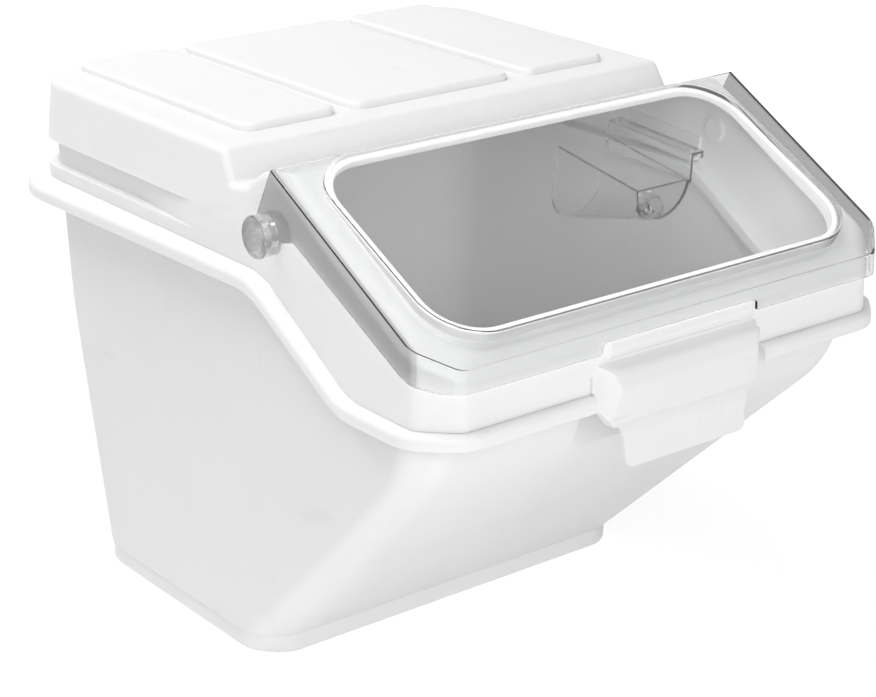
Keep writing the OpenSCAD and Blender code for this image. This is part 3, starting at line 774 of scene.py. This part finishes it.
def new_group(name, inputs, outputs):
    tree = bpy.data.node_groups.new(name, "ShaderNodeTree")
    for label, value in inputs:
        tree.interface.new_socket(label, in_out="INPUT",
                                  socket_type="NodeSocketFloat").default_value = value
    for label in outputs:
        tree.interface.new_socket(label, in_out="OUTPUT", socket_type="NodeSocketFloat")
    return tree, tree.nodes.new("NodeGroupInput"), tree.nodes.new("NodeGroupOutput")


def moulded_grain():
    """Fine moulded texture, the slow waves of a large moulding and its cloudy tone."""
    tree, given, out = new_group("moulded grain", [("Grain", 900.0), ("Fine", 1.0), ("Wave", 1.0)],
                                 ["Height", "Tone", "Gloss"])
    at = wire(tree, "ShaderNodeTexCoord").outputs["Object"]
    fine = noise(tree, at, given.outputs["Grain"], 3.0, 0.6)
    wave = noise(tree, stretch(tree, at, (1, 1, 0.6)), 11.0, 2.0)
    height = calc(tree, "ADD", calc(tree, "MULTIPLY", fine, given.outputs["Fine"]),
                  calc(tree, "MULTIPLY", wave, given.outputs["Wave"]))
    tree.links.new(height, out.inputs["Height"])
    tone = noise(tree, stretch(tree, at, (1, 1, 0.5)), 5.0, 4.0, 0.55, 0.6)
    tree.links.new(levels(tree, tone, 0.3, 0.7), out.inputs["Tone"])
    gloss = calc(tree, "ADD", calc(tree, "MULTIPLY", noise(tree, at, 26.0, 4.0, 0.6), 0.7),
                 calc(tree, "MULTIPLY", fine, 0.3))
    tree.links.new(levels(tree, gloss, 0.3, 0.7), out.inputs["Gloss"])
    return tree


def handling_wear():
    """Hairline scratches in two directions and the dull patches that hands leave."""
    tree, given, out = new_group("handling wear", [("Amount", 1.0)], ["Scratch", "Smudge"])
    at = wire(tree, "ShaderNodeTexCoord").outputs["Object"]
    lines = []
    for scale, turn in (((420, 12, 30), (8, 14, 31)), ((16, 380, 26), (21, -9, -24))):
        fine = noise(tree, stretch(tree, at, scale, turn), 1.0, 1.0)
        patch = noise(tree, stretch(tree, at, (17, 17, 17), turn), 1.0, 2.0)
        lines.append(calc(tree, "MULTIPLY", levels(tree, fine, 0.66, 0.76),
                          levels(tree, patch, 0.5, 0.66)))
    both = calc(tree, "MAXIMUM", *lines)
    tree.links.new(calc(tree, "MULTIPLY", both, given.outputs["Amount"]), out.inputs["Scratch"])
    smudge = levels(tree, noise(tree, at, 13.0, 5.0, 0.6, 0.8), 0.45, 0.72)
    tree.links.new(calc(tree, "MULTIPLY", smudge, given.outputs["Amount"]), out.inputs["Smudge"])
    return tree


GRAIN, WEAR = moulded_grain(), handling_wear()
# painted shade: the grey of the lid's side skirts
SKIRT_PAINTED_SHADE = (0.45, 0.453, 0.453, 1)
# painted shade: the grey of the lid's flange and front skirt
FLANGE_PAINTED_SHADE = (0.72, 0.725, 0.725, 1)
CUP_DARK, CUP_PALE = (0.42, 0.42, 0.42, 1), (0.8, 0.8, 0.8, 1)
SCUFF = 0.9          # a scuff's share of the colour round it


def effect(tree, group, **values):
    node = wire(tree, "ShaderNodeGroup", {"node_tree": group})
    for key, value in values.items():
        node.inputs[key].default_value = value
    return node.outputs


def new_material(name):
    material = bpy.data.materials.new(name)
    material.use_nodes = True
    tree = material.node_tree
    return material, tree, tree.nodes["Principled BSDF"]


def white_plastic(name, light, shade, rough, grain=900.0, fine=1.0, wave=1.0, wear=1.0,
                  glow=0.0):
    """Satin white polypropylene: cloudy tone, moulded grain, scuffs that dull it."""
    material, tree, skin = new_material(name)
    moulded = effect(tree, GRAIN, Grain=grain, Fine=fine, Wave=wave)
    worn = effect(tree, WEAR, Amount=wear)
    colour = blend_colour(tree, moulded["Tone"], shade, light)
    scuffed = tuple(c * SCUFF for c in shade[:3]) + (1,)
    mask = calc(tree, "MULTIPLY", worn["Scratch"], 0.5)
    tree.links.new(blend_colour(tree, mask, colour, scuffed), skin.inputs["Base Color"])
    dull = calc(tree, "ADD", levels(tree, moulded["Gloss"], 0, 1, rough - 0.06, rough + 0.06),
                calc(tree, "MULTIPLY", calc(tree, "MAXIMUM", worn["Scratch"], worn["Smudge"]), 0.1))
    tree.links.new(dull, skin.inputs["Roughness"])
    bump = wire(tree, "ShaderNodeBump", Strength=0.35, Distance=0.00012, Height=moulded["Height"])
    tree.links.new(bump.outputs[0], skin.inputs["Normal"])
    skin.inputs["IOR"].default_value = 1.49
    skin.inputs["Subsurface Weight"].default_value = glow
    skin.inputs["Subsurface Radius"].default_value = (1.0, 0.95, 0.88)
    skin.inputs["Subsurface Scale"].default_value = 6 * MM
    return material


def lid_painted_shade_and_cups(tree, colour, dull):
    """Paints shade on the lid's flange and side skirts and gives each hinge cup its speckled face.
    """
    at = wire(tree, "ShaderNodeTexCoord").outputs["Object"]
    spot = wire(tree, "ShaderNodeSeparateXYZ", Vector=at).outputs
    # painted shade: all of the lid below the window's plane, flange and skirts, is painted darker
    up = wire(tree, "ShaderNodeVectorMath", {"operation": "DOT_PRODUCT"}, i0=at,
              i1=WINDOW_AT[3]).outputs["Value"]
    plane = WINDOW_AT[0].dot(WINDOW_AT[3]) * MM
    low = levels(tree, up, plane - 0.2 * MM, plane + 0.1 * MM, 1.0, 0.0)
    colour = blend_colour(tree, low, colour, FLANGE_PAINTED_SHADE)
    # painted shade: both side skirts, and the cups outside them, are painted grey
    side = calc(tree, "ABSOLUTE", spot["X"], 0.0)
    skirt = levels(tree, side, (LID_HALF - 3.8) * MM, (LID_HALF - 2.8) * MM)
    colour = blend_colour(tree, skirt, colour, SKIRT_PAINTED_SHADE)
    hub = wire(tree, "ShaderNodeCombineXYZ", X=0.0, Y=HINGE_Y * MM, Z=HINGE_Z * MM).outputs[0]
    flat = wire(tree, "ShaderNodeCombineXYZ", X=0.0, Y=spot["Y"], Z=spot["Z"]).outputs[0]
    far = wire(tree, "ShaderNodeVectorMath", {"operation": "DISTANCE"}, i0=flat,
               i1=hub).outputs["Value"]
    outer = levels(tree, side, (LID_HALF + 1.2) * MM, (LID_HALF + 1.8) * MM)
    rim_r, face_r = CUP_D / 2 + 0.6, CUP_D / 2 - 5.2
    cup = calc(tree, "MULTIPLY", outer,
               levels(tree, far, rim_r * MM, (rim_r + 0.6) * MM, 1.0, 0.0))
    face = calc(tree, "MULTIPLY", cup,
                levels(tree, far, face_r * MM, (face_r + 0.6) * MM, 1.0, 0.0))
    speckle = levels(tree, noise(tree, at, 420.0, 3.0, 0.7), 0.35, 0.65)
    dark = blend_colour(tree, speckle, CUP_DARK, CUP_PALE)
    colour = blend_colour(tree, face, colour, dark)
    dull = calc(tree, "ADD", dull, calc(tree, "ADD", calc(tree, "MULTIPLY", cup, 0.18),
                                        calc(tree, "MULTIPLY", face, 0.3)))
    return colour, dull


def clear_plastic(name, clear, edge, rough, wear, lid=False, bend=1.5):
    """Clear polycarbonate: a painted shade where it is seen edge-on, with faint scuffs and flow
    waves.
    """
    material, tree, skin = new_material(name)
    worn = effect(tree, WEAR, Amount=wear)
    moulded = effect(tree, GRAIN, Grain=260.0, Fine=0.05, Wave=1.0)
    # painted shade: the colour turns to the edge colour where the surface is seen edge-on
    facing = wire(tree, "ShaderNodeLayerWeight", Blend=0.5).outputs["Facing"]
    colour = blend_colour(tree, levels(tree, facing, 0.6, 0.98), clear, edge)
    marks = calc(tree, "MULTIPLY", calc(tree, "MAXIMUM", worn["Scratch"], worn["Smudge"]), 0.05)
    dull = calc(tree, "ADD", levels(tree, moulded["Gloss"], 0, 1, rough, rough + 0.02), marks)
    if lid:
        colour, dull = lid_painted_shade_and_cups(tree, colour, dull)
    tree.links.new(colour, skin.inputs["Base Color"])
    tree.links.new(dull, skin.inputs["Roughness"])
    bump = wire(tree, "ShaderNodeBump", Strength=0.3, Distance=0.0004, Height=moulded["Height"])
    tree.links.new(bump.outputs[0], skin.inputs["Normal"])
    skin.inputs["IOR"].default_value = bend
    skin.inputs["Transmission Weight"].default_value = 1.0
    return material


def dress(piece, material):
    """Gives a piece one material and no other."""
    piece.data.materials.clear()
    piece.data.materials.append(material)


def place(piece, body, node, material):
    """Puts a finished piece on its body, in its node's place and finish."""
    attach(piece, body)
    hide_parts(node)
    dress(piece, material)


BIN_WHITE = white_plastic("bin white", (0.86, 0.86, 0.858, 1), (0.83, 0.83, 0.828, 1), 0.42,
                          grain=700.0, glow=0.3)
HOOD_WHITE = white_plastic("hood white", (0.87, 0.87, 0.868, 1), (0.845, 0.845, 0.843, 1), 0.38,
                           grain=900.0, glow=0.3)
PIN_WHITE = white_plastic("pin white", (0.86, 0.86, 0.858, 1), (0.82, 0.82, 0.818, 1), 0.5,
                          grain=420.0, fine=4.0)
RAIL_WHITE = white_plastic("rail white", (0.85, 0.85, 0.848, 1), (0.82, 0.82, 0.818, 1), 0.4)
# the second colour of each clear finish is the painted shade it takes where seen edge-on
LID_CLEAR = clear_plastic("lid clear", (0.91, 0.915, 0.915, 1), (0.72, 0.73, 0.73, 1), 0.02, 0.6,
                          lid=True)
SCOOP_CLEAR = clear_plastic("scoop clear", (0.97, 0.975, 0.975, 1), (0.9, 0.905, 0.905, 1), 0.05,
                            1.0, bend=1.3)


bin_shell = make_bin()
hood_shell = make_hood()
lid_shell = make_lid()
pin_left = make_pin(-1, "pin_left")
pin_right = make_pin(1, "pin_right")
rail = make_rail()
scoop_clear = make_scoop()
place(bin_shell, "bin", "bin_body", BIN_WHITE)
place(hood_shell, "hood", "hood", HOOD_WHITE)
place(lid_shell, "lid", "flip_lid", LID_CLEAR)
place(pin_left, "hood", "hinge_pin_left", PIN_WHITE)
place(pin_right, "hood", "hinge_pin_right", PIN_WHITE)
place(rail, "hood", "scoop_rail", RAIL_WHITE)
place(scoop_clear, "scoop", "scoop", SCOOP_CLEAR)


# --- Camera and light ------------------------------------------------------------------------

CAMERA_AT, CAMERA_TURN = (-1085.8, -1407.0, 896.5), (20.8596, -37.5866, -0.2935)
FRAME_WIDE, FOCUS_PIXELS, SENSOR = 876, 2318.93, 36.0
WORLD_LIGHT, FLOOR_LIGHT, FLOOR_WHITE = 0.22, 0.14, 0.85
SHADOW_WHITE, SHOWN_NEAR, FADE_FROM, FADE_TO = 0.35, 0.82, 0.9, 2.4      # the floor as seen


def set_camera():
    """A camera from its place in millimetres and its pitch, azimuth and roll in degrees."""
    pitch, azimuth, roll = (math.radians(a) for a in CAMERA_TURN)
    flat = Vector((-math.sin(azimuth), math.cos(azimuth), 0))
    ahead = math.cos(pitch) * flat - math.sin(pitch) * Vector((0, 0, 1))
    up = math.sin(pitch) * flat + math.cos(pitch) * Vector((0, 0, 1))
    right = ahead.cross(up)
    side = math.cos(roll) * right + math.sin(roll) * up
    top = -math.sin(roll) * right + math.cos(roll) * up
    stand = Matrix((side, top, -ahead)).transposed().to_4x4()
    stand.translation = Vector(CAMERA_AT) * MM
    bpy.ops.object.camera_add()
    camera = bpy.context.object
    camera.name = "camera"
    camera.matrix_world = stand
    camera.data.sensor_width = SENSOR
    camera.data.lens = SENSOR * FOCUS_PIXELS / FRAME_WIDE
    camera.data.clip_end = 20
    bpy.context.scene.camera = camera


def lamp(name, at, aim, size, power):
    """A large soft lamp in metres and watts, turned to a point."""
    bpy.ops.object.light_add(type="AREA", location=at)
    light = bpy.context.object
    light.name = name
    light.rotation_euler = (Vector(aim) - Vector(at)).to_track_quat("-Z", "Y").to_euler()
    light.data.shape, light.data.size, light.data.energy = "SQUARE", size, power
    light.visible_camera = False
    return light


def seen(tree):
    """One for rays that show the ground and the backdrop, nothing for those that light."""
    path = wire(tree, "ShaderNodeLightPath").outputs
    total = calc(tree, "ADD", path["Is Camera Ray"],
                 calc(tree, "ADD", path["Is Glossy Ray"], path["Is Transmission Ray"]))
    return calc(tree, "MULTIPLY", calc(tree, "MINIMUM", total, 1.0),
                calc(tree, "LESS_THAN", path["Diffuse Depth"], 0.5))


def set_ground():
    """A white floor that lights the object from below and shows white, with a soft shadow."""
    let_go()
    bpy.ops.mesh.primitive_plane_add(size=12, location=(0, 0, 0))
    floor = bpy.context.object
    floor.name = "floor"
    material, tree, skin = new_material("white ground")
    tree.nodes.remove(skin)
    matt = wire(tree, "ShaderNodeBsdfDiffuse", Color=(FLOOR_WHITE,) * 3 + (1,))
    glow = wire(tree, "ShaderNodeEmission", Color=(1, 1, 1, 1), Strength=FLOOR_LIGHT)
    unseen = wire(tree, "ShaderNodeAddShader", i0=matt.outputs[0], i1=glow.outputs[0])
    shown = wire(tree, "ShaderNodeBsdfDiffuse", Color=(SHADOW_WHITE,) * 3 + (1,))
    at = wire(tree, "ShaderNodeTexCoord").outputs["Object"]
    away = wire(tree, "ShaderNodeVectorMath", {"operation": "LENGTH"}, i0=at).outputs["Value"]
    bright = wire(tree, "ShaderNodeEmission", Color=(1, 1, 1, 1),
                  Strength=levels(tree, away, FADE_FROM, FADE_TO, SHOWN_NEAR, 1.0))
    both = wire(tree, "ShaderNodeAddShader", i0=shown.outputs[0], i1=bright.outputs[0])
    mix = wire(tree, "ShaderNodeMixShader", i0=seen(tree), i1=unseen.outputs[0],
               i2=both.outputs[0])
    tree.links.new(mix.outputs[0], tree.nodes["Material Output"].inputs["Surface"])
    dress(floor, material)


def set_world():
    """A white backdrop where it is seen, and a plain light where it isn't."""
    world = bpy.data.worlds.new("studio")
    world.use_nodes = True
    bpy.context.scene.world = world
    tree = world.node_tree
    back = tree.nodes["Background"]
    back.inputs["Color"].default_value = (1, 1, 1, 1)
    tree.links.new(levels(tree, seen(tree), 0, 1, WORLD_LIGHT, 1.0), back.inputs["Strength"])


set_camera()
set_ground()
set_world()
lamp("rear", (-0.8, 0.9, 2.5), (0, 0, 0.35), 1.6, 46)
lamp("top", (-0.7, -0.3, 2.8), (0, 0, 0.3), 2.2, 6)
lamp("front", (-0.2, -2.7, 1.3), (0, 0, 0.25), 1.3, 15)
lamp("fill", (-1.3, -1.9, 1.12), (0, 0, 0.25), 1.1, 18)
for clear in (lid_shell, scoop_clear):
    clear.visible_shadow = False     # light passes the clear pieces
bpy.context.scene.view_settings.view_transform = "Standard"
